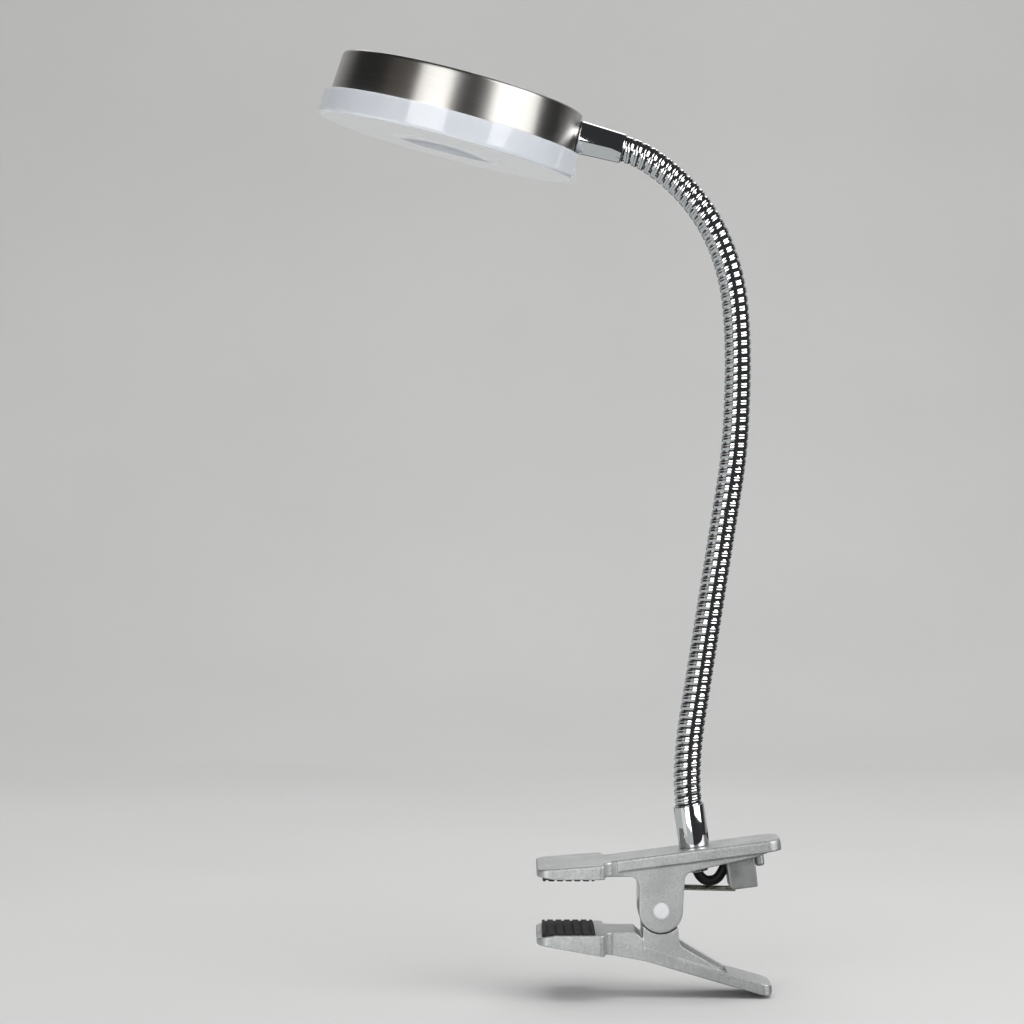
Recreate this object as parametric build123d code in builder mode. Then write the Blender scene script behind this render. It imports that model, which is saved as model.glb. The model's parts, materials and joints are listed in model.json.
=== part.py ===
from build123d import *
import math
import os

# Clip-on reading lamp, millimetres, +Z up.
# The origin is the centre of the upper jaw pad's clamping face, which lies on the table top.
# The jaws point to -X, the gooseneck bends in the XZ plane and the lamp is seen from -Y.

# ---- driving dimensions ----
PIVOT_X, PIVOT_Z = 31.2, -10.9  # clamp pivot, from the origin
JAW_GAP = 17.4  # between the pads at rest
JAW_WIDTH = 38.0
JAW_TIP_X = -41.9  # from the pivot
JAW_ROOT_X = -19.0  # from the pivot
RAIL_WIDTH = 21.0  # arm and handle, over the raised band
CHEEK_WIDTH = 20.0  # ears and cheeks
INNER_WIDTH = 16.4  # between the ears
EAR_R = 7.4
SEAT_R = 7.8  # hollow in the lever's cheeks round the ears

ARM_TILT = 7.4  # degrees, the upper arm rises to the right
ARM_HEIGHT = 19.15  # top face above the pivot, over the pivot
ARM_END = 40.8
ARM_BAND = 4.0
ARM_WALL = 2.3

PIN_R = 2.2
PIN_HEAD_R = 2.85
HOLE_PLAY = 0.05

PAD_LENGTH, PAD_WIDTH, PAD_THICK, PAD_PROUD = 17.4, 34.0, 1.5, 0.6
RIB_GROOVE, RIB_STEP, RIB_COUNT = 0.9, 2.9, 6

LEVER_SLOPE = -16.3  # degrees, underside of the lower lever
LEVER_FLOOR = 2.3

SPRING_R, SPRING_WIRE_R, SPRING_PITCH = 6.5, 1.0, 2.05
SPRING_TOP_ANGLE, SPRING_END_ANGLE, SPRING_TURNS = 87.9, 232.6, 4
SPRING_UPPER_LEG, SPRING_LOWER_LEG = 26.0, 22.4

FERRULE_X = 11.9  # base ferrule's place along the arm
BASE_FERRULE_R, BASE_FERRULE_H = 5.2, 14.4
HEAD_FERRULE_FOOT_R, HEAD_FERRULE_R, HEAD_FERRULE_L = 5.75, 5.1, 15.9  # wider at the head
FERRULE_BORE_R, FERRULE_BORE_DEPTH = 4.65, 8.2
TAIL_R, TAIL_BORE_R, TAIL_L = 3.9, 2.1, 8.4

HOSE_R = 4.6
LINK = 20.0  # joint to joint along the gooseneck
LINK_TURNS = (8.5, 8.0, 0.0, 0.0, 0.0, 0.0, -5.9, -2.7, -5.5, -15.4, -18.5, -18.0, -18.3)
BALL_R, SOCKET_R, NECK_R, LINK_BORE_R = 3.4, 3.5, 2.2, 1.5
LIP, LINK_GAP = 0.9, 2.8  # socket lip past the joint, and the space below the joint

HEAD_REACH = 58.3  # disc axis to the end of the head ferrule
HEAD_ROLL = 1.7  # degrees about the ferrule axis, far side up
HOUSING_TOP_R, HOUSING_BOTTOM_R = 41.9, 42.9
HOUSING_TOP, HOUSING_BOTTOM = 7.4, -6.55
HOUSING_WALL = 1.5
DIFFUSER_R, DIFFUSER_BOTTOM, DIFFUSER_WALL = 45.2, -15.0, 1.6
DISH_R, DISH_DEPTH = 19.8, 2.4
SPREADER_R = 33.5
BOSS_R, GASKET_R, GASKET_THICK = 5.9, 5.4, 0.3
LEAD_R = 1.7


# ---- planes ----
CLAMP = Plane(origin=(PIVOT_X, 0, PIVOT_Z), x_dir=(1, 0, 0), z_dir=(0, -1, 0))
arm_dir = Vector(1, 0, 0).rotate(Axis.Y, -ARM_TILT)
arm_up = Vector(0, 0, 1).rotate(Axis.Y, -ARM_TILT)
ARM = Plane(origin=(PIVOT_X, 0, PIVOT_Z + ARM_HEIGHT), x_dir=arm_dir, z_dir=(0, -1, 0))


def on_arm(along, below):
    """A plane parallel to the arm's top face, at a place along the arm and a depth below its top."""
    place = ARM.origin + arm_dir * along - arm_up * below
    return Plane(origin=place, x_dir=arm_dir, z_dir=arm_up)


def outline(plane, points):
    """A closed polygon, in the plane's own x and y."""
    with BuildSketch(plane) as face:
        with BuildLine():
            Polyline(*points, close=True)
        make_face()
    return face.sketch


def block(plane, points, width):
    """Adds a polygon, extruded to both sides of the plane, to the part that is being built."""
    extrude(outline(plane, points), amount=width / 2, both=True)


def cut(plane, points, width):
    """Cuts a polygon, extruded to both sides of the plane."""
    extrude(outline(plane, points), amount=width / 2, both=True, mode=Mode.SUBTRACT)


def disc(plane, radius):
    """A round face on a plane."""
    with BuildSketch(plane) as face:
        Circle(radius)
    return face.sketch


def bore(plane, radius, length, both=True):
    """Cuts a round hole along the plane's normal."""
    extrude(disc(plane, radius), amount=length, both=both, mode=Mode.SUBTRACT)


def jaw_plan(neck_x, neck_width):
    """The jaw seen from above: a wide front with rounded corners, hollowed in to the arm behind it."""
    half, neck = JAW_WIDTH / 2, RAIL_WIDTH / 2
    root = PIVOT_X + JAW_ROOT_X
    tip = PIVOT_X + JAW_TIP_X
    end = PIVOT_X + neck_x
    with BuildSketch(Plane.XY.offset(-JAW_WIDTH)) as plan:
        with BuildLine():
            Polyline(
                (tip, -half), (root, -half), (root, -neck), (end, -neck_width / 2),
                (end, neck_width / 2), (root, neck), (root, half), (tip, half),
                close=True,
            )
        make_face()
        fillet(plan.vertices().filter_by(lambda v: abs(v.X - tip) < 0.1), 4.0)
        fillet(plan.vertices().filter_by(lambda v: abs(v.X - root) < 0.1 and abs(v.Y) < half - 1), 3.0)
        fillet(plan.vertices().filter_by(lambda v: abs(v.X - root) < 0.1 and abs(v.Y) > half - 1), 1.8)
    return plan.sketch


def save(builder, name):
    builder.part.label = name
    export_step(builder.part, f"parts/{name}.step")


os.makedirs("parts", exist_ok=True)

# ---- upper jaw: plate, front jaw, skirts and two ears in one casting ----
pad_face = 0.0 - PIVOT_Z  # the upper pad's clamping face above the pivot
rim = pad_face + PAD_PROUD
jaw_top_slope = math.tan(math.radians(4.3))
jaw_top_root = ARM_HEIGHT + JAW_ROOT_X * math.tan(math.radians(ARM_TILT))
jaw_top_tip = jaw_top_root + (JAW_TIP_X - JAW_ROOT_X) * jaw_top_slope

with BuildPart() as upper_jaw:
    # front jaw
    neck_x = -12.5
    block(
        CLAMP,
        [
            (neck_x, ARM_HEIGHT + neck_x * math.tan(math.radians(ARM_TILT))),
            (JAW_ROOT_X, jaw_top_root),
            (JAW_TIP_X, jaw_top_tip),
            (JAW_TIP_X, rim + 1.0),
            (JAW_TIP_X + 6, rim),
            (neck_x, rim),
        ],
        JAW_WIDTH,
    )
    extrude(jaw_plan(neck_x, CHEEK_WIDTH), amount=2 * JAW_WIDTH, mode=Mode.INTERSECT)
    # raised band of the arm
    band_start = -15.0
    with BuildSketch(on_arm(0, 0)):
        with Locations(((ARM_END + band_start) / 2, 0)):
            Rectangle(ARM_END - band_start, RAIL_WIDTH)
    extrude(amount=-ARM_BAND)
    arm_end_corners = upper_jaw.edges().filter_by(
        lambda e: abs(e.tangent_at(0).dot(arm_up)) > 0.99 and e.center().X > PIVOT_X
    )
    fillet(arm_end_corners, 5.0)
    # skirts and ears
    skirt = [(37.5, 22.0), (37.5, 20.2), (32.5, 18.3), (8.1, 12.7), (EAR_R, 0)]
    with BuildSketch(CLAMP):
        with BuildLine():
            Polyline((-EAR_R, 0), (-EAR_R, rim), (neck_x - 1, rim), (neck_x - 1, 16.0), *skirt)
            ThreePointArc((EAR_R, 0), (0, -EAR_R), (-EAR_R, 0))
        make_face()
    extrude(amount=CHEEK_WIDTH / 2, both=True)
    ear_roots = upper_jaw.edges().filter_by(Axis.Y).filter_by(
        lambda e: (e.center() - Vector(PIVOT_X - EAR_R, 0, PIVOT_Z + rim)).length < 0.6
        or (e.center() - Vector(PIVOT_X + 8.1, 0, PIVOT_Z + 12.7)).length < 0.6
    )
    fillet(ear_roots, 3.2)
    # channel under the plate
    cut(ARM, [(-15.5, -ARM_WALL), (38.4, -ARM_WALL), (38.4, -45), (-15.5, -45)], INNER_WIDTH)
    # recess for the grip pad
    with BuildSketch(Plane.XY.offset(rim + PIVOT_Z)):
        Rectangle(PAD_LENGTH + 0.3, PAD_WIDTH + 0.3)
    extrude(amount=PAD_THICK - PAD_PROUD, mode=Mode.SUBTRACT)
    # locating stud beside the cord block
    with BuildSketch(on_arm(33.3, ARM_WALL - 0.5)):
        Circle(1.55)
    extrude(amount=-7.5)
    fillet(upper_jaw.faces().sort_by(lambda f: abs(f.area - math.pi * 1.55**2))[0].edges(), 0.7)
    # holes for the pin, the ferrule's tail and the block's screw
    bore(CLAMP, PIN_R + HOLE_PLAY, RAIL_WIDTH)
    bore(on_arm(FERRULE_X, 1), TAIL_R + HOLE_PLAY, 6)
    bore(on_arm(28.5, ARM_WALL + 1), 1.3, 2.6, both=False)
    # rounded top edges
    top_rim = upper_jaw.edges().filter_by(
        lambda e: e.center().Z > PIVOT_Z + 14
        and abs(e.center().Y) > INNER_WIDTH / 2 + 1.5
        and abs((e.center() - ARM.origin).dot(arm_up)) < 0.05
    )
    fillet(top_rim, 0.9)
save(upper_jaw, "upper_jaw")


# ---- grip pads ----
def grip_pad(face_z, up):
    """A ribbed rubber pad, its clamping face at face_z and its back towards up (+1 or -1)."""
    with BuildPart() as pad:
        with BuildSketch(Plane.XY.offset(face_z)):
            RectangleRounded(PAD_LENGTH, PAD_WIDTH, 1.2)
        extrude(amount=up * PAD_THICK)
        grooves = [(RIB_STEP * (k - (RIB_COUNT - 1) / 2), 0) for k in range(RIB_COUNT)]
        with BuildSketch(Plane.XY.offset(face_z)):
            with Locations(*grooves):
                Rectangle(RIB_GROOVE, PAD_WIDTH + 1)
        extrude(amount=up * 0.45, mode=Mode.SUBTRACT)
    return pad


upper_jaw_pad = grip_pad(0.0, 1)
save(upper_jaw_pad, "upper_jaw_pad")
lower_jaw_pad = grip_pad(-JAW_GAP, -1)
save(lower_jaw_pad, "lower_jaw_pad")

# ---- lower lever: jaw, trough, cheeks, lugs and handle in one casting ----
low_rim = pad_face - JAW_GAP - PAD_PROUD
heel = (-5.4, -16.8)
slope = math.tan(math.radians(LEVER_SLOPE))
toe = (36.4, heel[1] + slope * (36.4 - heel[0]))
trough_start, trough_end = -3.9, 22.6


def floor_at(x):
    return heel[1] + LEVER_FLOOR / math.cos(math.radians(LEVER_SLOPE)) + slope * (x - heel[0])


lug_in, lug_out = 6.4, INNER_WIDTH / 2 - 0.3

with BuildPart() as lower_jaw:
    # jaw, wide in front and as wide as the band behind
    jaw_slope = (-10.2 - heel[1]) / (JAW_TIP_X - heel[0])
    block(
        CLAMP,
        [
            (JAW_TIP_X, low_rim - 1.0), (JAW_TIP_X + 6, low_rim), (-8.6, low_rim), (-6.0, -9.5),
            heel, (JAW_TIP_X, heel[1] + jaw_slope * (JAW_TIP_X - heel[0])),
        ],
        JAW_WIDTH,
    )
    extrude(jaw_plan(heel[0], RAIL_WIDTH), amount=2 * JAW_WIDTH, mode=Mode.INTERSECT)
    # raised band along the handle
    block(CLAMP, [(-5.9, -12.6), (22.9, -21.2), (37.4, -25.2), (37.6, -27.6), toe, heel], RAIL_WIDTH)
    handle_end = lower_jaw.edges().filter_by(
        lambda e: abs(e.tangent_at(0).Y) < 0.1 and e.center().X > PIVOT_X + 36.5 and e.length > 1.5
    )
    fillet(handle_end.filter_by(lambda e: abs(e.tangent_at(0).Z) > 0.9), 3.5)
    # cheeks with the round seat under the ears
    with BuildSketch(CLAMP):
        with BuildLine():
            seat_left, seat_right = (-6.2, -4.73), (5.7, -5.32)
            ThreePointArc(seat_left, (0, -SEAT_R), seat_right)
            Polyline(seat_right, (6.3, -11.6), (22.9, -21.3), (-5.8, -14.0), seat_left)
        make_face()
    extrude(amount=CHEEK_WIDTH / 2, both=True)
    cheek_roots = lower_jaw.edges().filter_by(Axis.Y).filter_by(
        lambda e: (e.center() - Vector(PIVOT_X + 6.3, 0, PIVOT_Z - 11.6)).length < 0.5
    )
    fillet(cheek_roots, 3.0)
    # trough, and room for the spring
    trough = [
        (trough_start, 5),
        (trough_start, floor_at(trough_start)),
        (trough_end, floor_at(trough_end)),
        (trough_end, 5),
    ]
    cut(CLAMP, trough, INNER_WIDTH)
    bore(CLAMP, SEAT_R + 0.5, INNER_WIDTH / 2)
    # two lugs on the pin, inside the ears
    for side in (-1, 1):
        lug_plane = CLAMP.offset(side * lug_in)
        with BuildSketch(lug_plane):
            Circle(5.4)
            with BuildLine():
                Polyline(
                    (-5.2, -1), (5.2, -1), (5.9, -11),
                    (5.9, floor_at(5.9) - 0.6), (-4.4, floor_at(-4.4) - 0.6),
                    close=True,
                )
            make_face()
        extrude(amount=side * (lug_out - lug_in))
        with BuildSketch(lug_plane):
            with BuildLine():
                Polyline(
                    (-4.4, -8.9), (5.9, -8.9), (5.9, floor_at(5.9) - 0.6), (-4.4, floor_at(-4.4) - 0.6),
                    close=True,
                )
            make_face()
        extrude(amount=side * (INNER_WIDTH / 2 - lug_in + 0.3))
    bore(CLAMP, PIN_R + HOLE_PLAY, RAIL_WIDTH)
    # recess for the grip pad
    with BuildSketch(Plane.XY.offset(low_rim + PIVOT_Z)):
        Rectangle(PAD_LENGTH + 0.3, PAD_WIDTH + 0.3)
    extrude(amount=-(PAD_THICK - PAD_PROUD), mode=Mode.SUBTRACT)
save(lower_jaw, "lower_jaw")

# ---- pivot pin with a domed head, and the clip on its far end ----
head_face = CHEEK_WIDTH / 2
with BuildPart() as pivot_pin:
    with BuildSketch(CLAMP.offset(-head_face - 1.3)):
        Circle(PIN_R)
    extrude(amount=2 * head_face + 1.3)
    with BuildSketch(CLAMP.offset(head_face)):
        Circle(PIN_HEAD_R)
    extrude(amount=0.9)
    fillet(pivot_pin.faces().sort_by(Axis.Y)[0].edges(), 0.6)
    chamfer(pivot_pin.faces().sort_by(Axis.Y)[-1].edges(), 0.4)
save(pivot_pin, "pivot_pin")

with BuildPart() as pin_clip:
    with BuildSketch(CLAMP.offset(-head_face - 0.75)):
        Circle(3.6)
        Circle(PIN_R + 0.02, mode=Mode.SUBTRACT)
        with PolarLocations(2.75, 6):
            Circle(0.35, mode=Mode.SUBTRACT)
    extrude(amount=0.7)
save(pin_clip, "pin_clip")

# ---- torsion spring: coil round the pin, upper leg under the block, lower leg in the trough ----
spring_turns = SPRING_TURNS + (SPRING_END_ANGLE - SPRING_TOP_ANGLE) / 360
spring_length = spring_turns * SPRING_PITCH
top_angle = math.radians(SPRING_TOP_ANGLE)
COIL = Plane(
    origin=(PIVOT_X, spring_length / 2, PIVOT_Z),
    x_dir=(math.cos(top_angle), 0, math.sin(top_angle)),
    z_dir=(0, -1, 0),
)
coil = COIL.location * Helix(pitch=SPRING_PITCH, height=spring_length, radius=SPRING_R)
upper_leg = Line(coil @ 0 - (coil % 0) * SPRING_UPPER_LEG, coil @ 0)
lower_leg = Line(coil @ 1, coil @ 1 + (coil % 1) * SPRING_LOWER_LEG)
with BuildPart() as torsion_spring:
    spring_path = Wire([upper_leg, coil, lower_leg])
    with BuildSketch(Plane(origin=spring_path @ 0, z_dir=spring_path % 0)):
        Circle(SPRING_WIRE_R)
    sweep(path=spring_path, is_frenet=True)
save(torsion_spring, "torsion_spring")

# ---- base ferrule, its washer and its nut ----
FERRULE_SEAT = on_arm(FERRULE_X, 0)


def ferrule(seat, foot_radius, radius, height):
    """A turned sleeve on its seat plane: bore for the hose above, threaded tail below."""
    bore_floor = height - FERRULE_BORE_DEPTH
    with BuildPart() as sleeve:
        with BuildSketch(Plane(origin=seat.origin, x_dir=seat.x_dir, z_dir=-seat.y_dir)):
            with BuildLine():
                Polyline(
                    (TAIL_BORE_R, -TAIL_L),
                    (TAIL_R, -TAIL_L),
                    (TAIL_R, 0),
                    (foot_radius - 0.25, 0),
                    (foot_radius, 0.25),
                    (radius, height - 0.35),
                    (radius - 0.35, height),
                    (FERRULE_BORE_R, height),
                    (FERRULE_BORE_R, bore_floor),
                    (TAIL_BORE_R, bore_floor),
                    close=True,
                )
            make_face()
        revolve(axis=Axis(seat.origin, seat.z_dir))
    return sleeve


def hex_nut(seat, across_flats, height):
    """A hexagon nut on the ferrule's tail, hanging below its seat plane."""
    with BuildPart() as nut:
        with BuildSketch(seat):
            RegularPolygon(across_flats / 2, 6, major_radius=False)
        extrude(amount=-height)
        with BuildSketch(seat):
            Circle(across_flats / 2 + 0.5)
        extrude(amount=-height, mode=Mode.INTERSECT)
        with BuildSketch(seat):
            Circle(TAIL_R + 0.03)
        extrude(amount=-height, mode=Mode.SUBTRACT)
    return nut


base_ferrule = ferrule(FERRULE_SEAT, BASE_FERRULE_R, BASE_FERRULE_R, BASE_FERRULE_H)
save(base_ferrule, "base_ferrule")

washer_seat = on_arm(FERRULE_X, ARM_WALL)
with BuildPart() as base_washer:
    with BuildSketch(washer_seat):
        Circle(6.8)
        Circle(TAIL_R + HOLE_PLAY, mode=Mode.SUBTRACT)
        with PolarLocations(6.6, 18):
            RegularPolygon(0.55, 3, mode=Mode.SUBTRACT)
    extrude(amount=-0.8)
save(base_washer, "base_washer")

base_nut = hex_nut(on_arm(FERRULE_X, ARM_WALL + 0.8), 11.0, 3.6)
save(base_nut, "base_nut")

# ---- the supply lead's route: along the arm, and below its top face ----
LEAD_ROUTE = [
    on_arm(FERRULE_X, TAIL_L - 3.0).origin,
    on_arm(FERRULE_X, 9.4).origin,
    on_arm(14.2, 12.2).origin,
    on_arm(18.0, 12.2).origin,
    on_arm(20.6, 9.2).origin,
    on_arm(22.9, 4.6).origin,
]

# ---- cord block under the handle, with its screw and the bush in its cord outlet ----
BLOCK_BACK = on_arm(26.5, ARM_WALL)
block_height = 13.3
with BuildPart() as cord_block:
    with BuildSketch(BLOCK_BACK):
        RectangleRounded(10.0, 12.0, 0.8)
    extrude(amount=-block_height, taper=1.0)
    # bevelled corner where the spring's leg bears
    corner_x, corner_y = 21.6, -ARM_WALL - block_height
    corner = (corner_x - 2, corner_y - 2)
    cut(ARM, [(corner_x - 1.5, corner_y + 2.8), (corner_x + 2.8, corner_y - 1.5), corner], 14)
    # socket for the lead, through the left face
    lead_socket = Plane(origin=LEAD_ROUTE[-1], z_dir=LEAD_ROUTE[-2] - LEAD_ROUTE[-1])
    bore(lead_socket, LEAD_R + 0.15, 7, both=False)
    # outlet on the far side
    outlet = Plane(origin=on_arm(26.5, 9.5).origin + Vector(0, 6.2, 0), x_dir=arm_dir, z_dir=(0, -1, 0))
    bore(outlet, 3.0, 3.4, both=False)
    # countersunk screw hole from below
    screw_seat = on_arm(28.5, ARM_WALL + block_height)
    bore(screw_seat, 1.6, block_height + 1, both=False)
    with BuildSketch(screw_seat.offset(-0.01)):
        Circle(3.1)
    extrude(amount=1.7, taper=44, mode=Mode.SUBTRACT)
save(cord_block, "cord_block")

with BuildPart() as block_screw:
    with BuildSketch(screw_seat.offset(0.15)):
        Circle(2.9)
    extrude(amount=1.4, taper=44)
    with BuildSketch(screw_seat.offset(0.15)):
        Circle(1.25)
    extrude(amount=block_height + 1.2)
    with BuildSketch(screw_seat.offset(0.15)):
        Rectangle(3.2, 0.7)
        Rectangle(0.7, 3.2)
    extrude(amount=0.9, mode=Mode.SUBTRACT)
save(block_screw, "block_screw")

with BuildPart() as cord_bush:
    with BuildSketch(outlet.offset(0.1)):
        Circle(2.95)
    extrude(amount=3.0)
    with BuildSketch(outlet.offset(-0.9)):
        Circle(3.7)
    extrude(amount=1.05)
    with BuildSketch(outlet.offset(-1.0)):
        Circle(2.2)
    extrude(amount=5, mode=Mode.SUBTRACT)
save(cord_bush, "cord_bush")

# ---- supply lead inside the clamp, from the ferrule's tail in a loop to the block ----
def route_radii(points):
    """The largest arc at each corner: 0.45 of the shorter run, over the tangent of half the turn."""
    radii = []
    for before, corner, after in zip(points, points[1:], points[2:]):
        first, second = corner - before, after - corner
        half_turn = math.radians(first.get_angle(second) / 2)
        radii.append(0.45 * min(first.length, second.length) / math.tan(half_turn))
    return radii


def lead(points, radius, name):
    """A round lead along straight runs and tangent arcs."""
    radii = route_radii(points)
    with BuildPart() as tube:
        with BuildLine() as route:
            FilletPolyline(*points, radius=radii)
        length = route.wire().length
        with BuildSketch(Plane(origin=route.wire() @ 0, z_dir=route.wire() % 0)):
            Circle(radius)
        sweep(path=route.wire())
    expected = math.pi * radius**2 * length
    print(name, "radii", [round(r, 1) for r in radii], "length", round(length, 1),
          "volume over section x length", round(tube.part.volume / expected, 4))
    return tube


base_lead = lead(LEAD_ROUTE, LEAD_R, "base_lead")
save(base_lead, "base_lead")


# ---- gooseneck: rigid links on ball ends, each along its stretch of the hose's line ----
def along(heading):
    """The direction of a heading in degrees from +Z towards +X."""
    return Vector(math.sin(math.radians(heading)), 0, math.cos(math.radians(heading)))


def walk(place, heading, turn, length):
    """Where a stretch that turns evenly ends, and its heading there."""
    half = math.radians(turn / 2)
    chord = length * math.sin(half) / half if turn else length
    return place + along(heading + turn / 2) * chord, heading + turn


def stretch(place, heading, turn, length):
    """The line of one stretch: straight, or an arc where it turns."""
    middle = walk(place, heading, turn / 2, length / 2)[0]
    end = walk(place, heading, turn, length)[0]
    return ThreePointArc(place, middle, end) if turn else Line(place, end)


hose_start = FERRULE_SEAT.offset(BASE_FERRULE_H).origin
hose_heading = -ARM_TILT
hose_depth = FERRULE_BORE_DEPTH - 0.2
last = len(LINK_TURNS) - 1
joint_places, joint_headings = [], []
place, heading = hose_start, hose_heading

for number, turn in enumerate(LINK_TURNS):
    length = LINK / 2 if number in (0, last) else LINK
    end, end_heading = walk(place, heading, turn, length)
    per_mm = turn / length
    with BuildPart() as gooseneck_link:
        room = length if number == last else length - LINK_GAP
        below = hose_depth if number == 0 else LIP
        runs = [
            Line(place - along(heading) * below, place),
            stretch(place, heading, per_mm * room, room),
        ]
        if number == last:
            runs.append(Line(end, end + along(end_heading) * hose_depth))
        tube_path = Wire(runs)
        with BuildSketch(Plane(origin=tube_path @ 0, z_dir=tube_path % 0)):
            Circle(HOSE_R)
            if number == 0:
                Circle(LINK_BORE_R, mode=Mode.SUBTRACT)
        sweep(path=tube_path)
        if number != last:
            ball_plane = Plane(origin=end, z_dir=along(end_heading))
            with BuildSketch(ball_plane.offset(-LINK_GAP - 0.5)):
                Circle(NECK_R)
            extrude(amount=LINK_GAP + 0.5)
            with Locations(ball_plane):
                Sphere(BALL_R)
            bore(ball_plane, LINK_BORE_R, LINK_GAP + 3)
        if number != 0:
            with BuildSketch(Plane(origin=tube_path @ 0, z_dir=tube_path % 0)):
                Circle(LINK_BORE_R)
            sweep(path=tube_path, mode=Mode.SUBTRACT)
            with Locations(Plane(origin=place, z_dir=along(heading))):
                Sphere(SOCKET_R, mode=Mode.SUBTRACT)
    save(gooseneck_link, f"gooseneck_link_{number + 1:02d}")
    if number != last:
        joint_places.append(end)
        joint_headings.append(end_heading)
    place, heading = end, end_heading

hose_end, hose_end_heading = place, heading

# ---- head frame: x from the disc's axis to the neck, z out of the closed top ----
to_neck = -along(hose_end_heading)
head_up = Vector(0, 0, 1).rotate(Axis.Y, hose_end_heading + 90)
head_up = head_up.rotate(Axis((0, 0, 0), to_neck), HEAD_ROLL)
HEAD = Plane(origin=hose_end - to_neck * HEAD_REACH, x_dir=to_neck, z_dir=head_up)
HEAD_SECTION = Plane(origin=HEAD.origin, x_dir=to_neck, z_dir=-HEAD.y_dir)
HEAD_AXIS = Axis(HEAD.origin, HEAD.z_dir)


def across_head(x, z=0.0, y=0.0, facing=1):
    """A plane square to the ferrule's axis at a place in the head, its normal towards the neck."""
    place = HEAD.from_local_coords(Vector(x, y, z))
    return Plane(origin=place, x_dir=HEAD.y_dir, z_dir=to_neck * facing)


def level(z, x=0.0, y=0.0):
    """A plane parallel to the disc at a height in the head."""
    return Plane(origin=HEAD.from_local_coords(Vector(x, y, z)), x_dir=HEAD.x_dir, z_dir=HEAD.z_dir)


ferrule_seat_x = HEAD_REACH - HEAD_FERRULE_L
inner_top_z = HOUSING_TOP - HOUSING_WALL
POST_PLACES = [(-22.0, 0.0), (11.0, 19.1), (11.0, -19.1)]

# ---- housing ----
with BuildPart() as housing:
    with BuildSketch(HEAD_SECTION):
        with BuildLine():
            Polyline(
                (0, HOUSING_TOP),
                (HOUSING_TOP_R, HOUSING_TOP),
                (HOUSING_BOTTOM_R, HOUSING_BOTTOM),
                (HOUSING_BOTTOM_R - HOUSING_WALL, HOUSING_BOTTOM),
                (HOUSING_TOP_R - HOUSING_WALL, inner_top_z),
                (0, inner_top_z),
                close=True,
            )
        make_face()
    revolve(axis=HEAD_AXIS)
    outer_rim = housing.edges().filter_by(GeomType.CIRCLE).sort_by(
        lambda e: -(e.center() - HEAD.origin).dot(HEAD.z_dir) * 100 - e.radius
    )[0]
    fillet(outer_rim, 1.1)
    # neck boss
    with BuildSketch(across_head(ferrule_seat_x - GASKET_THICK)):
        Circle(BOSS_R)
    extrude(amount=-3.2, taper=-18)
    bore(across_head(ferrule_seat_x - GASKET_THICK), BOSS_R, 2, both=False)
    with BuildSketch(level(HOUSING_BOTTOM, 40.5)):
        Rectangle(9, 18)
    extrude(amount=-2, mode=Mode.SUBTRACT)
    # posts for the heat spreader
    for x, y in POST_PLACES:
        with BuildSketch(level(inner_top_z + 0.2, x, y)):
            Circle(2.6)
        extrude(amount=-9.7)
        bore(level(-3.6, x, y), 0.95, 7.0, both=False)
    bore(across_head(ferrule_seat_x), TAIL_R + HOLE_PLAY, 8)
save(housing, "housing")

# ---- neck gasket, head ferrule and its nut ----
with BuildPart() as neck_gasket:
    with BuildSketch(across_head(ferrule_seat_x - GASKET_THICK)):
        Circle(GASKET_R)
        Circle(TAIL_R + HOLE_PLAY, mode=Mode.SUBTRACT)
    extrude(amount=GASKET_THICK)
save(neck_gasket, "neck_gasket")

head_ferrule = ferrule(across_head(ferrule_seat_x), HEAD_FERRULE_FOOT_R, HEAD_FERRULE_R, HEAD_FERRULE_L)
save(head_ferrule, "head_ferrule")

head_nut = hex_nut(across_head(ferrule_seat_x - 3.6), 10.4, 3.4)
save(head_nut, "head_nut")

# ---- heat spreader, LED board, LEDs and board screws ----
spreader_z = inner_top_z - 9.5
with BuildPart() as heat_spreader:
    with BuildSketch(level(spreader_z)):
        Circle(SPREADER_R)
        with Locations(*POST_PLACES):
            Circle(1.3, mode=Mode.SUBTRACT)
        with Locations((0, -12)):
            Rectangle(7, 3, mode=Mode.SUBTRACT)
    extrude(amount=-1.6)
save(heat_spreader, "heat_spreader")

board_z = spreader_z - 1.6
with BuildPart() as led_board:
    with BuildSketch(level(board_z)):
        Circle(SPREADER_R - 0.5)
        with Locations(*POST_PLACES):
            Circle(1.3, mode=Mode.SUBTRACT)
        with Locations((0, -12)):
            Rectangle(7, 3, mode=Mode.SUBTRACT)
    extrude(amount=-1.2)
save(led_board, "led_board")

led_z = board_z - 1.2
with BuildPart() as leds:
    for ring_r, count in ((27.5, 18), (15.0, 9)):
        with BuildSketch(level(led_z)):
            with PolarLocations(ring_r, count, start_angle=5):
                Rectangle(2.8, 3.5)
        extrude(amount=-0.8)
save(leds, "leds")

with BuildPart() as board_screws:
    for x, y in POST_PLACES:
        with BuildSketch(level(led_z, x, y)):
            Circle(2.2)
        extrude(amount=-1.3)
        with BuildSketch(level(led_z, x, y)):
            Circle(0.9)
        extrude(amount=8.0)
save(board_screws, "board_screws")

# ---- driver board above the spreader, its parts, the plug for the supply and the wires to the LEDs ----
driver_z = 0.2
with BuildPart() as driver_board:
    with BuildSketch(level(driver_z, 2.0)):
        RectangleRounded(24, 20, 1.0)
    extrude(amount=-1.2)
    for dx, dy in ((-10, -8), (-10, 8), (10, -8), (10, 8)):
        with BuildSketch(level(driver_z - 1.2, 2.0 + dx, dy)):
            Circle(1.4)
        extrude(amount=-(driver_z - 1.2 - spreader_z))
save(driver_board, "driver_board")

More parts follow.
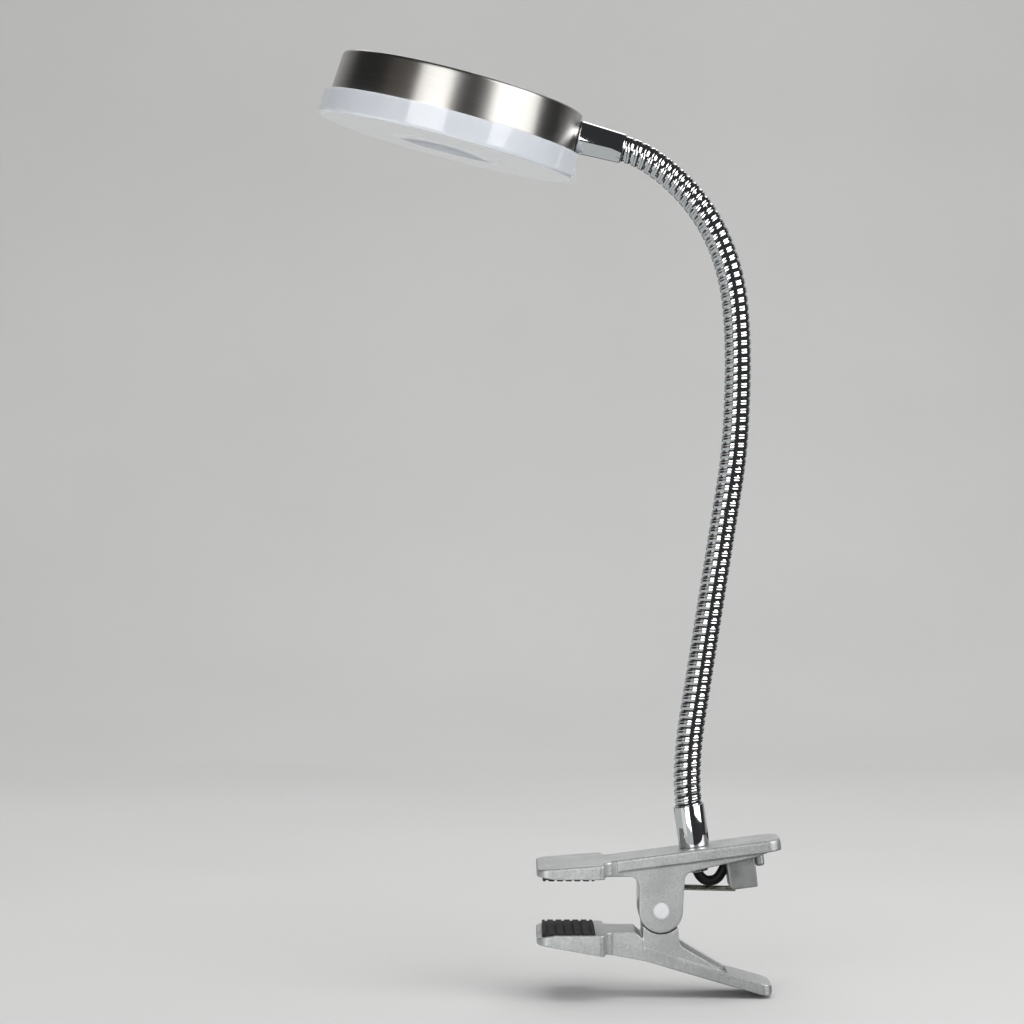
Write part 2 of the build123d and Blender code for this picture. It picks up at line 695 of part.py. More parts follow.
with BuildPart() as driver_parts:
    with BuildSketch(level(driver_z, -3.0, 3.0)):
        Circle(3.0)
    extrude(amount=5.0)
    with BuildSketch(level(driver_z, -3.5, -5.0)):
        RectangleRounded(6, 5, 1.0)
    extrude(amount=4.0)
    with BuildSketch(level(driver_z, 4.5, -5.5)):
        Rectangle(4, 3)
    extrude(amount=1.4)
save(driver_parts, "driver_parts")

with BuildPart() as supply_plug:
    with BuildSketch(across_head(8.0, 2.2, 2.0)):
        Rectangle(6, 4)
    extrude(amount=5)
save(supply_plug, "supply_plug")

HEAD_LEAD_ROUTE = [
    HEAD.from_local_coords(Vector(ferrule_seat_x - TAIL_L + 3.0, 0, 0)),
    HEAD.from_local_coords(Vector(29.5, 0, 0)),
    HEAD.from_local_coords(Vector(21.5, 2.0, 2.2)),
    HEAD.from_local_coords(Vector(13.0, 2.0, 2.2)),
]
head_lead = lead(HEAD_LEAD_ROUTE, LEAD_R, "head_lead")
save(head_lead, "head_lead")

with BuildPart() as led_wires:
    for x in (-1.6, 1.6):
        wire_route = [
            HEAD.from_local_coords(Vector(x, -8.6, driver_z - 2.4)),
            HEAD.from_local_coords(Vector(x, -11.4, driver_z - 2.4)),
            HEAD.from_local_coords(Vector(x, -12.2, led_z + 0.2)),
        ]
        with BuildLine() as thin_route:
            FilletPolyline(*wire_route, radius=route_radii(wire_route))
        with BuildSketch(Plane(origin=thin_route.wire() @ 0, z_dir=thin_route.wire() % 0)):
            Circle(0.6)
        sweep(path=thin_route.wire())
save(led_wires, "led_wires")

# ---- reflector: a thin white cone round the board ----
with BuildPart() as reflector:
    with BuildSketch(HEAD_SECTION):
        with BuildLine():
            Polyline(
                (SPREADER_R + 0.3, led_z + 0.2),
                (SPREADER_R + 0.9, led_z + 0.2),
                (39.0, led_z - 4.4),
                (38.4, led_z - 4.4),
                close=True,
            )
        make_face()
    revolve(axis=HEAD_AXIS)
save(reflector, "reflector")

# ---- opal diffuser with its dished centre, its spigot in the housing and a flat at the neck ----
flat_x = 43.9
flat_lip = 3.4
spigot_r = HOUSING_BOTTOM_R - HOUSING_WALL - 0.4
cover_top = HOUSING_BOTTOM - 0.05
cover_inner_r = DIFFUSER_R - DIFFUSER_WALL
cover_floor = DIFFUSER_BOTTOM + DIFFUSER_WALL


def dome(base_z, skirt, mode):
    """The dish's round form over a height in the head, flat at its very centre, with a skirt below it."""
    top_z = base_z + DISH_DEPTH
    centre_r = 1.5
    with BuildSketch(HEAD_SECTION) as half:
        with BuildLine():
            Polyline(
                (centre_r, top_z), (0, top_z), (0, base_z - skirt),
                (DISH_R, base_z - skirt), (DISH_R, base_z),
            )
            ThreePointArc((DISH_R, base_z), (DISH_R / 2, base_z + 0.76 * DISH_DEPTH), (centre_r, top_z))
        make_face()
    revolve(half.sketch, axis=HEAD_AXIS, mode=mode)


with BuildPart() as diffuser:
    with BuildSketch(level(DIFFUSER_BOTTOM)):
        Circle(DIFFUSER_R)
    extrude(amount=cover_top - DIFFUSER_BOTTOM)
    fillet(diffuser.edges().sort_by(lambda e: (e.center() - HEAD.origin).dot(HEAD.z_dir))[0], 1.2)
    with BuildSketch(level(cover_top)):
        Circle(spigot_r)
    extrude(amount=3.0)
    with BuildSketch(level(cover_floor)):
        Circle(cover_inner_r)
    extrude(amount=cover_top - DIFFUSER_WALL - cover_floor, mode=Mode.SUBTRACT)
    with BuildSketch(level(cover_floor)):
        Circle(spigot_r - 1.3)
    extrude(amount=30, mode=Mode.SUBTRACT)
    # the dish, hollow below, with the cover's own thickness over it
    dome(cover_floor, 0.8, Mode.ADD)
    dome(DIFFUSER_BOTTOM, 1.0, Mode.SUBTRACT)
    # thicker wall behind the flat, inside the cover
    with BuildSketch(level(cover_top - DIFFUSER_WALL, 42.5)):
        Rectangle(3.4, 20)
    extrude(amount=-(cover_top - DIFFUSER_WALL - cover_floor))
    # the flat, with a lip left below it
    with BuildSketch(level(cover_top, flat_x + 3)):
        Rectangle(6, 24)
    extrude(amount=-(cover_top - DIFFUSER_BOTTOM - flat_lip), mode=Mode.SUBTRACT)
    # room for the neck boss in the spigot
    with BuildSketch(level(cover_top, 40.5)):
        Rectangle(9, 18)
    extrude(amount=4, mode=Mode.SUBTRACT)
save(diffuser, "diffuser")

print("joints")
for joint_place, joint_heading in zip(joint_places, joint_headings):
    print([round(v, 3) for v in joint_place], round(joint_heading, 2))
print("head origin", [round(v, 3) for v in HEAD.origin], "up", [round(v, 4) for v in HEAD.z_dir])
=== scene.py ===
import json
import math

import bmesh
import bpy
import numpy as np
from mathutils import Matrix, Vector


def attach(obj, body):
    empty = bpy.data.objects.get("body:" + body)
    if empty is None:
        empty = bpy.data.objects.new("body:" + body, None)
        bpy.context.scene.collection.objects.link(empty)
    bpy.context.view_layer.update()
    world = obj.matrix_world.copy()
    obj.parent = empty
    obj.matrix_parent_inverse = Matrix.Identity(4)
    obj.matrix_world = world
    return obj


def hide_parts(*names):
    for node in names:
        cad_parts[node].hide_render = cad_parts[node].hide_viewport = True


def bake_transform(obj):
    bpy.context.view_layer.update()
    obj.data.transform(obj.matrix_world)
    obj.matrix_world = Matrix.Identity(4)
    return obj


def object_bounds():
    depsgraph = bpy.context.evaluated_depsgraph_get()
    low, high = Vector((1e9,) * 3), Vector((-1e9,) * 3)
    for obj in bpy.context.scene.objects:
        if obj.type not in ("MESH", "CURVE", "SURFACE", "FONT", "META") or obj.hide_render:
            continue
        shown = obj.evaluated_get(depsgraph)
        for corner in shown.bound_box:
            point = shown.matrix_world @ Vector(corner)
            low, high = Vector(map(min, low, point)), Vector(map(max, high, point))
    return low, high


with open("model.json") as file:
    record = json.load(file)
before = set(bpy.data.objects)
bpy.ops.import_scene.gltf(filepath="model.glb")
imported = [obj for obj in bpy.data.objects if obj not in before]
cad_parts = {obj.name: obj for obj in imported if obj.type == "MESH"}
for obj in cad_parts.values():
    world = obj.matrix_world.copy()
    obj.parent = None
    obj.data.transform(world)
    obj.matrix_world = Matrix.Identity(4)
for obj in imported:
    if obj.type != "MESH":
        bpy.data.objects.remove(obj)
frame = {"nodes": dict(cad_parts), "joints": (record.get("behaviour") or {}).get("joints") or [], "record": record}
cad_low, cad_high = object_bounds()

MM = 0.001
JOINTS = {joint["name"]: joint for joint in frame["joints"]}
NECK = [joint for joint in frame["joints"] if joint["name"].startswith("neck_")]

# ---- the lamp's own sizes, in millimetres, as the CAD model has them ----
ARM_TILT = 7.4  # degrees
HALF_LINK, LINK = 10.0, 20.0
LAST_TURN = -18.3  # degrees, over the hose's last half link
HOSE_R = 4.6
BASE_FERRULE_R, BASE_FERRULE_H = 5.2, 14.4
HEAD_FERRULE_FOOT_R, HEAD_FERRULE_R, HEAD_FERRULE_L = 5.75, 5.1, 15.9
GASKET_T = 0.3
BORE_R, BORE_DEPTH, BORE_CLEAR = 4.65, 8.2, 0.02
TAIL_R, TAIL_BORE_R, TAIL_L = 3.9, 2.1, 8.4
HEAD_REACH = 58.3
HOUSING_TOP_R, HOUSING_BOTTOM_R = 41.9, 42.9
HOUSING_TOP, HOUSING_BOTTOM, HOUSING_WALL = 7.4, -6.55, 1.5


# ---- camera: level, a metre in front of the lamp ----
def make_camera():
    data = bpy.data.cameras.new("camera")
    data.sensor_width = 36.0
    data.lens = 103.4
    camera = bpy.data.objects.new("camera", data)
    camera.location = (-0.01896, -1.0, 0.12347)
    camera.rotation_euler = (math.radians(90), 0, 0)
    bpy.context.scene.collection.objects.link(camera)
    bpy.context.scene.camera = camera


# ---- mesh helpers ----
def add_mesh(name, points, faces, smooth_angle=40.0, matrix=None):
    """A mesh object from points in metres, shaded smooth up to an angle."""
    mesh = bpy.data.meshes.new(name)
    mesh.from_pydata([tuple(p) for p in points], [], [tuple(f) for f in faces])
    mesh.validate()
    mesh.update()
    piece = bpy.data.objects.new(name, mesh)
    bpy.context.scene.collection.objects.link(piece)
    if matrix is not None:
        piece.matrix_world = matrix
    fix_normals(piece)
    shade(piece, smooth_angle)
    return piece


def fix_normals(piece):
    work = bmesh.new()
    work.from_mesh(piece.data)
    bmesh.ops.recalc_face_normals(work, faces=work.faces)
    work.to_mesh(piece.data)
    work.free()


def shade(piece, angle):
    """Smooth shading, with an edge kept sharp where its faces turn by more than the angle."""
    work = bmesh.new()
    work.from_mesh(piece.data)
    limit = math.radians(angle)
    for face in work.faces:
        face.smooth = True
    for edge in work.edges:
        edge.smooth = len(edge.link_faces) == 2 and edge.calc_face_angle(0.0) < limit
    work.to_mesh(piece.data)
    work.free()


def rounded(corners, steps=6):
    """Corner points (x, y, radius), each turned into an arc of that radius where it isn't 0."""
    out = []
    count = len(corners)
    for i, (x, y, radius) in enumerate(corners):
        here = np.array((x, y))
        if radius <= 0:
            out.append((x, y))
            continue
        before = np.array(corners[i - 1][:2]) - here
        after = np.array(corners[(i + 1) % count][:2]) - here
        before, after = before / np.linalg.norm(before), after / np.linalg.norm(after)
        half = math.acos(np.clip(before @ after, -1, 1)) / 2
        middle = before + after
        centre = here + middle / np.linalg.norm(middle) * radius / math.sin(half)
        first = here + before * radius / math.tan(half) - centre
        second = here + after * radius / math.tan(half) - centre
        sweep = math.atan2(first[0] * second[1] - first[1] * second[0], first @ second)
        for k in range(steps + 1):
            a = sweep * k / steps
            turn = np.array(((math.cos(a), -math.sin(a)), (math.sin(a), math.cos(a))))
            out.append(tuple(centre + turn @ first))
    return out


def lathe(name, profile, matrix, segments=128, reshape=None, smooth_angle=40.0):
    """A closed profile of (radius, height) in millimetres turned about the matrix's Z axis."""
    points = []
    for k in range(segments):
        a = 2 * math.pi * k / segments
        for r, z in profile:
            p = (r * math.cos(a), r * math.sin(a), z)
            points.append(reshape(p) if reshape else p)
    count = len(profile)
    faces = []
    for k in range(segments):
        here, there = k * count, ((k + 1) % segments) * count
        for i in range(count):
            j = (i + 1) % count
            on_axis = profile[i][0] < 1e-6 and profile[j][0] < 1e-6
            if not on_axis:
                faces.append((here + i, here + j, there + j, there + i))
    points = np.array(points) * MM
    piece = add_mesh(name, points, faces, smooth_angle, matrix)
    weld(piece)
    shade(piece, smooth_angle)
    return piece


def weld(piece, distance=1e-6):
    work = bmesh.new()
    work.from_mesh(piece.data)
    bmesh.ops.remove_doubles(work, verts=work.verts, dist=distance)
    bmesh.ops.dissolve_degenerate(work, edges=work.edges, dist=distance)
    work.to_mesh(piece.data)
    work.free()


def tube(path, radius, sides=16):
    """Points and faces of a round bar along a list of places, with flat ends, frames carried along."""
    path = np.array(path, float)
    ahead = np.gradient(path, axis=0)
    ahead /= np.linalg.norm(ahead, axis=1)[:, None]
    side = np.cross(ahead[0], (0.3, 0.9, 0.2))
    side /= np.linalg.norm(side)
    points, faces = [], []
    for place, direction in zip(path, ahead):
        side = side - direction * (side @ direction)
        side /= np.linalg.norm(side)
        up = np.cross(direction, side)
        for k in range(sides):
            a = 2 * math.pi * k / sides
            points.append(place + radius * (math.cos(a) * side + math.sin(a) * up))
    for i in range(len(path) - 1):
        for k in range(sides):
            j = (k + 1) % sides
            faces.append((i * sides + k, i * sides + j, (i + 1) * sides + j, (i + 1) * sides + k))
    faces.append(tuple(range(sides)))
    faces.append(tuple(range((len(path) - 1) * sides, len(path) * sides)))
    return points, faces


# ---- the hose's line, worked out from the neck's joints ----
def along(heading):
    return np.array((math.sin(heading), 0.0, math.cos(heading)))


def hose_stretches():
    """(place, heading, turn, length) of each evenly turning stretch, in millimetres and radians."""
    places = [np.array(joint["pos_m"]) / MM for joint in NECK]
    chords = [math.atan2(b[0] - a[0], b[2] - a[2]) for a, b in zip(places, places[1:])]
    headings = [0.0] * len(places)
    for i in range(1, len(places), 2):
        across = np.array(NECK[i]["axis"]) * np.sign(NECK[i]["axis"][0])
        headings[i] = math.atan2(-across[2], across[0])
    headings[0] = 2 * chords[0] - headings[1]
    for i in range(2, len(places), 2):
        headings[i] = chords[i - 1] + chords[i] - (headings[i - 1] + headings[i + 1]) / 2
    first_heading = -math.radians(ARM_TILT)
    turn = headings[0] - first_heading
    chord = HALF_LINK * math.sin(turn / 2) / (turn / 2)
    start = places[0] - along(first_heading + turn / 2) * chord
    stretches = [(start, first_heading, turn, HALF_LINK)]
    for i in range(len(places) - 1):
        stretches.append((places[i], headings[i], headings[i + 1] - headings[i], LINK))
    stretches.append((places[-1], headings[-1], math.radians(LAST_TURN), HALF_LINK))
    return stretches


STRETCHES = hose_stretches()
HOSE_LENGTH = sum(stretch[3] for stretch in STRETCHES)


def hose_line(s):
    """The hose's centre and heading at a distance along it. It runs on straight past both ends."""
    if s < 0:
        place, heading, _, _ = STRETCHES[0]
        return place + along(heading) * s, heading
    for place, heading, turn, length in STRETCHES:
        if s <= length or (place is STRETCHES[-1][0]):
            run = min(s, length)
            part = turn * run / length
            chord = run * (math.sin(part / 2) / (part / 2) if abs(part) > 1e-9 else 1)
            end = place + along(heading + part / 2) * chord
            return end + along(heading + part) * (s - run), heading + part
        s -= length


def hose_surface(s, angle, radius):
    """A place round the hose, in millimetres."""
    centre, heading = hose_line(s)
    outward = np.array((math.cos(heading), 0.0, -math.sin(heading)))
    return centre + radius * (math.cos(angle) * outward + math.sin(angle) * np.array((0.0, 1.0, 0.0)))


# ---- the head's own frame: x to the neck, z out of the closed top ----
def head_matrix():
    """The disc's axis, HEAD_REACH before the hose's end, with the LED board's normal as its z."""
    place, heading = hose_line(HOSE_LENGTH)
    to_neck = -along(heading)
    board = max(frame["nodes"]["led_board"].data.polygons, key=lambda face: face.area)
    up = np.array(board.normal) * np.sign(board.normal.z)
    up = up - to_neck * (up @ to_neck)
    up /= np.linalg.norm(up)
    across = np.cross(up, to_neck)
    matrix = Matrix(np.column_stack((to_neck, across, up)).tolist()).to_4x4()
    matrix.translation = Vector(place - to_neck * HEAD_REACH) * MM
    return matrix


HEAD = head_matrix()


def axis_frame(origin, direction):
    """A matrix with its Z along a direction, from millimetres."""
    z = Vector(direction).normalized()
    x = Vector((0, 1, 0)).cross(z)
    x = x.normalized() if x.length > 1e-6 else Vector((1, 0, 0))
    y = z.cross(x)
    matrix = Matrix((x, y, z)).transposed().to_4x4()
    matrix.translation = Vector(origin) * MM
    return matrix


# ---- materials ----
def new_material(name):
    material = bpy.data.materials.new(name)
    material.use_nodes = True
    nodes = material.node_tree.nodes
    return material, nodes, material.node_tree.links, nodes["Principled BSDF"]


def add(nodes, kind, **values):
    node = nodes.new(kind)
    for key, value in values.items():
        if key in node.inputs:
            node.inputs[key].default_value = value
        else:
            setattr(node, key.lower().replace(" ", "_"), value)
    return node


def noise(nodes, links, vector, scale, detail=2.0, roughness=0.5):
    node = add(nodes, "ShaderNodeTexNoise", Scale=scale, Detail=detail, Roughness=roughness)
    links.new(vector, node.inputs["Vector"])
    return node.outputs["Fac"]


def spread(nodes, links, value, low, high, start=0.3, end=0.7):
    """A 0 to 1 value spread over a range."""
    node = nodes.new("ShaderNodeMapRange")
    for socket, number in zip(("From Min", "From Max", "To Min", "To Max"), (start, end, low, high)):
        node.inputs[socket].default_value = number
    links.new(value, node.inputs["Value"])
    return node.outputs["Result"]


def tint(nodes, links, factor, first, second):
    node = add(nodes, "ShaderNodeMix", data_type="RGBA")
    node.inputs[6].default_value = (*first, 1.0)
    node.inputs[7].default_value = (*second, 1.0)
    links.new(factor, node.inputs[0])
    return node.outputs[2]


def bump(nodes, links, height, distance, strength=1.0, normal=None):
    node = add(nodes, "ShaderNodeBump", Strength=strength, Distance=distance)
    links.new(height, node.inputs["Height"])
    if normal is not None:
        links.new(normal, node.inputs["Normal"])
    return node.outputs["Normal"]


def surface(name, first, second, rough_low, rough_high, grain=400.0, grain_depth=0.00001, metallic=0.0,
            blotch=60.0, coat=0.0, coat_roughness=0.1, specular=0.5, detail=3.0):
    """Two tints mixed by blotches, roughness that varies with them, and a fine grain in relief."""
    material, nodes, links, shader = new_material(name)
    where = nodes.new("ShaderNodeTexCoord").outputs["Object"]
    patches = noise(nodes, links, where, blotch, 4.0)
    fine = noise(nodes, links, where, grain, detail)
    mixed = tint(nodes, links, spread(nodes, links, patches, 0, 1), first, second)
    links.new(mixed, shader.inputs["Base Color"])
    links.new(spread(nodes, links, patches, rough_low, rough_high), shader.inputs["Roughness"])
    links.new(bump(nodes, links, fine, grain_depth), shader.inputs["Normal"])
    shader.inputs["Metallic"].default_value = metallic
    shader.inputs["Coat Weight"].default_value = coat
    shader.inputs["Coat Roughness"].default_value = coat_roughness
    shader.inputs["Specular IOR Level"].default_value = specular
    return material


def cast_metal():
    """Die-cast clamp: satin silver, a sparkling fine grain and faint cloudy patches."""
    material, nodes, links, shader = new_material("cast_metal")
    where = nodes.new("ShaderNodeTexCoord").outputs["Object"]
    cloud = noise(nodes, links, where, 110.0, 4.0)
    grain = noise(nodes, links, where, 1500.0, 3.0, 0.65)
    speck = noise(nodes, links, where, 3200.0, 1.0)
    shade_of = add(nodes, "ShaderNodeMix", data_type="FLOAT")
    shade_of.inputs[0].default_value = 0.6
    links.new(cloud, shade_of.inputs[2])
    links.new(grain, shade_of.inputs[3])
    colour = tint(nodes, links, spread(nodes, links, shade_of.outputs[0], 0, 1, 0.38, 0.62),
                  (0.50, 0.515, 0.51), (0.70, 0.715, 0.71))
    links.new(colour, shader.inputs["Base Color"])
    links.new(spread(nodes, links, speck, 0.33, 0.5), shader.inputs["Roughness"])
    relief = bump(nodes, links, grain, 0.00010, 0.8)
    relief = bump(nodes, links, speck, 0.00003, 0.6, relief)
    links.new(relief, shader.inputs["Normal"])
    shader.inputs["Metallic"].default_value = 0.8
    return material


def brushed_nickel():
    """Nickel plate with fine scratches that run round the head's axis."""
    material, nodes, links, shader = new_material("brushed_nickel")
    where = nodes.new("ShaderNodeTexCoord").outputs["Object"]
    parts = nodes.new("ShaderNodeSeparateXYZ")
    links.new(where, parts.inputs[0])
    flat = nodes.new("ShaderNodeCombineXYZ")
    links.new(parts.outputs[0], flat.inputs[0])
    links.new(parts.outputs[1], flat.inputs[1])
    radius = add(nodes, "ShaderNodeVectorMath", operation="LENGTH")
    links.new(flat.outputs[0], radius.inputs[0])
    sideways = add(nodes, "ShaderNodeMath", operation="MULTIPLY_ADD")
    links.new(parts.outputs[1], sideways.inputs[0])
    sideways.inputs[1].default_value = 0.7
    links.new(parts.outputs[0], sideways.inputs[2])
    vector = nodes.new("ShaderNodeCombineXYZ")
    for source, factor, target in (
        (radius.outputs["Value"], 5200.0, 0),
        (parts.outputs[2], 5200.0, 1),
        (sideways.outputs[0], 70.0, 2),
    ):
        scaled = add(nodes, "ShaderNodeMath", operation="MULTIPLY")
        links.new(source, scaled.inputs[0])
        scaled.inputs[1].default_value = factor
        links.new(scaled.outputs[0], vector.inputs[target])
    lines = noise(nodes, links, vector.outputs[0], 1.0, 3.0, 0.65)
    soft = noise(nodes, links, where, 45.0, 3.0)
    links.new(tint(nodes, links, spread(nodes, links, lines, 0, 1), (0.50, 0.485, 0.46), (0.58, 0.565, 0.54)),
              shader.inputs["Base Color"])
    both = add(nodes, "ShaderNodeMath", operation="ADD")
    links.new(spread(nodes, links, lines, 0.0, 0.04), both.inputs[0])
    links.new(spread(nodes, links, soft, 0.27, 0.31), both.inputs[1])
    links.new(both.outputs[0], shader.inputs["Roughness"])
    links.new(bump(nodes, links, lines, 0.000003, 0.5), shader.inputs["Normal"])
    tangent = add(nodes, "ShaderNodeTangent", direction_type="RADIAL", axis="Z")
    links.new(tangent.outputs[0], shader.inputs["Tangent"])
    shader.inputs["Anisotropic"].default_value = 0.75
    shader.inputs["Anisotropic Rotation"].default_value = 0.25
    shader.inputs["Metallic"].default_value = 1.0
    return material


def opal():
    """Glossy opal acrylic, milky inside."""
    material, nodes, links, shader = new_material("opal")
    where = nodes.new("ShaderNodeTexCoord").outputs["Object"]
    cloud = noise(nodes, links, where, 30.0, 3.0)
    fine = noise(nodes, links, where, 260.0, 2.0)
    links.new(tint(nodes, links, spread(nodes, links, cloud, 0, 1), (0.60, 0.63, 0.68), (0.65, 0.68, 0.725)),
              shader.inputs["Base Color"])
    links.new(spread(nodes, links, fine, 0.12, 0.18), shader.inputs["Roughness"])
    links.new(bump(nodes, links, fine, 0.00002, 0.25), shader.inputs["Normal"])
    shader.inputs["Subsurface Weight"].default_value = 0.35
    shader.inputs["Subsurface Radius"].default_value = (1.0, 0.95, 0.9)
    shader.inputs["Subsurface Scale"].default_value = 0.003
    shader.inputs["Coat Weight"].default_value = 1.0
    shader.inputs["Coat Roughness"].default_value = 0.03
    return material


def make_materials():
    return {
        "cast_metal": cast_metal(),
        "brushed_nickel": brushed_nickel(),
        "chrome": surface("chrome", (0.80, 0.81, 0.82), (0.86, 0.865, 0.87), 0.035, 0.075, 500.0, 0.000004,
                          metallic=1.0),
        "plated_steel": surface("plated_steel", (0.50, 0.50, 0.47), (0.66, 0.66, 0.64), 0.22, 0.34, 900.0,
                                0.00001, metallic=1.0, blotch=160.0),
        "spring_steel": surface("spring_steel", (0.44, 0.43, 0.36), (0.62, 0.61, 0.55), 0.20, 0.34, 1400.0,
                                0.00001, metallic=1.0, blotch=200.0),
        "grip_rubber": surface("grip_rubber", (0.018, 0.018, 0.018), (0.035, 0.035, 0.036), 0.6, 0.8, 1600.0,
                               0.00004, blotch=120.0, specular=0.35),
        "pin_white": surface("pin_white", (0.70, 0.71, 0.74), (0.77, 0.775, 0.79), 0.24, 0.34, 700.0, 0.00001,
                             coat=0.2),
        "block_grey": surface("block_grey", (0.27, 0.28, 0.275), (0.42, 0.43, 0.425), 0.38, 0.5,
                              1500.0, 0.00008, metallic=0.75, blotch=140.0),
        "lead_black": surface("lead_black", (0.006, 0.006, 0.006), (0.013, 0.013, 0.014), 0.35, 0.5,
                              900.0, 0.00001, specular=0.2),
        "spreader_aluminium": surface("spreader_aluminium", (0.66, 0.67, 0.68), (0.76, 0.77, 0.78), 0.3, 0.45,
                                      1200.0, 0.00001, metallic=1.0),
        "board_white": surface("board_white", (0.80, 0.80, 0.78), (0.88, 0.88, 0.87), 0.35, 0.5,
                               900.0, 0.00001),
        "led_yellow": surface("led_yellow", (0.85, 0.70, 0.22), (0.93, 0.80, 0.35), 0.25, 0.4,
                              1500.0, 0.00001),
        "board_green": surface("board_green", (0.02, 0.16, 0.07), (0.04, 0.24, 0.11), 0.3, 0.45,
                               800.0, 0.00001),
        "component_dark": surface("component_dark", (0.03, 0.03, 0.035), (0.07, 0.07, 0.08), 0.35, 0.5,
                                  1200.0, 0.00001),
        "opal": opal(),
    }


def paint(piece, material):
    """Gives a piece one material, in all its slots."""
    slots = piece.data.materials
    if len(slots) == 0:
        slots.append(material)
    for i in range(len(slots)):
        slots[i] = material
    for i in range(len(piece.material_slots)):
        piece.material_slots[i].material = material


def paint_cad_nodes(materials):
    for row in frame["record"]["subparts"]:
        paint(frame["nodes"][row["node"]], materials[row["material_slot"]])


# ---- gooseneck: two round wires and a filler wound side by side, a length for each joint of the neck ----
PITCH = 2.88
WIRE_R = 0.45
CROWN, VALLEY, WIRE_DEPTH, FILLER_ROOT = 0.12, 0.40, 0.9, 1.5  # below the hose's outside
STEPS_PER_TURN = 44
RIGID = 2.0  # of the hose at each end of a link; the end points it gives are worked out but not used


def ridge(middle):
    """The section of a round wire in the winding, drawn flat on top: (along the hose, from its axis)."""
    count = 8
    turns = [math.pi * k / count for k in range(count + 1)]
    foot = HOSE_R - CROWN
    crown = [(middle + WIRE_R * math.cos(a), foot + CROWN * math.sin(a)) for a in turns]
    return [*crown, (middle - WIRE_R, HOSE_R - WIRE_DEPTH), (middle + WIRE_R, HOSE_R - WIRE_DEPTH)]


def filler(start, end):
    """The section of the three-sided wire between the round ones, with a shallow V in its face."""
    middle = (start + end) / 2
    return [
        (start, HOSE_R - WIRE_DEPTH), (start, HOSE_R - CROWN), (middle, HOSE_R - VALLEY),
        (end, HOSE_R - CROWN), (end, HOSE_R - WIRE_DEPTH), (middle, HOSE_R - FILLER_ROOT),
    ]


def wound(section, s_from, s_to, first_index):
    """A section wound round the hose between two distances along it, closed at both ends."""
    steps = max(2, round((s_to - s_from) / PITCH * STEPS_PER_TURN))
    size = len(section)
    points, faces = [], []
    for i in range(steps + 1):
        s = s_from + (s_to - s_from) * i / steps
        angle = 2 * math.pi * s / PITCH
        points += [hose_surface(s + ahead, angle, radius) * MM for ahead, radius in section]
    for i in range(steps):
        for k in range(size):
            j = (k + 1) % size
            a, b = first_index + i * size, first_index + (i + 1) * size
            faces.append((a + k, a + j, b + j, b + k))
    faces.append(tuple(first_index + k for k in range(size)))
    faces.append(tuple(first_index + steps * size + k for k in range(size)))
    return points, faces


def make_gooseneck(materials):
    sections = [ridge(-WIRE_R), ridge(WIRE_R), filler(2 * WIRE_R, PITCH - 2 * WIRE_R)]
    into_ferrule = 6.0
    for k in range(len(NECK)):
        s_from = k * LINK if k else -into_ferrule
        s_to = (k + 1) * LINK if k < len(NECK) - 1 else HOSE_LENGTH + into_ferrule
        points, faces = [], []
        for section in sections:
            new_points, new_faces = wound(section, s_from, s_to, len(points))
            points += new_points
            faces += new_faces
        piece = add_mesh(f"gooseneck_winding_{k + 1:02d}", points, faces, 35.0)
        paint(piece, materials["chrome"])
        joint_s = HALF_LINK + k * LINK
        start = hose_line(joint_s - HALF_LINK + RIGID)[0] * MM
        end = hose_line(joint_s + HALF_LINK - RIGID)[0] * MM
        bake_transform(piece)
        nodes = [f"gooseneck_link_{k + 1:02d}"]
        if k == len(NECK) - 1:
            nodes.append(f"gooseneck_link_{k + 2:02d}")
        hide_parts(*nodes)


# ---- ferrules ----
def ferrule_profile(foot_radius, radius, height):
    """Rounded rims, a bore for the hose and a threaded tail."""
    corners = [
        (BORE_R + BORE_CLEAR, height - BORE_DEPTH, 0), (BORE_R + BORE_CLEAR, height, 0.12),
        (radius, height, 0.5),
        (foot_radius, 0, 0.45), (TAIL_R - 0.15, 0, 0),
    ]
    profile = rounded(corners)
    thread_pitch, thread_depth = 0.75, 0.28
    turns = int((TAIL_L - 0.6) / thread_pitch)
    for i in range(turns):
        top = -0.3 - i * thread_pitch
        profile += [(TAIL_R - thread_depth, top), (TAIL_R - 0.02, top - 0.4 * thread_pitch)]
        profile += [(TAIL_R - 0.02, top - 0.6 * thread_pitch)]
    profile += [(TAIL_R - thread_depth, -TAIL_L + 0.2), (TAIL_R - 0.5, -TAIL_L)]
    profile += [(TAIL_BORE_R, -TAIL_L), (TAIL_BORE_R, height - BORE_DEPTH)]
    return profile


def make_ferrules(materials):
    start, heading, _, _ = STRETCHES[0]
    seat = start - along(heading) * BASE_FERRULE_H
    base = lathe("base_ferrule_turned", ferrule_profile(BASE_FERRULE_R, BASE_FERRULE_R, BASE_FERRULE_H),
                 axis_frame(seat, along(heading)), 96)
    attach(base, "clamp")
    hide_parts("base_ferrule")
    to_neck = np.array([HEAD[row][0] for row in range(3)])
    origin = np.array([HEAD[row][3] for row in range(3)]) / MM
    seat = origin + to_neck * (HEAD_REACH - HEAD_FERRULE_L)
    head = lathe("head_ferrule_turned", ferrule_profile(HEAD_FERRULE_FOOT_R, HEAD_FERRULE_R, HEAD_FERRULE_L),
                 axis_frame(seat, to_neck), 96)
    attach(head, "head")
    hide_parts("head_ferrule")
    for piece in (base, head):
        paint(piece, materials["chrome"])


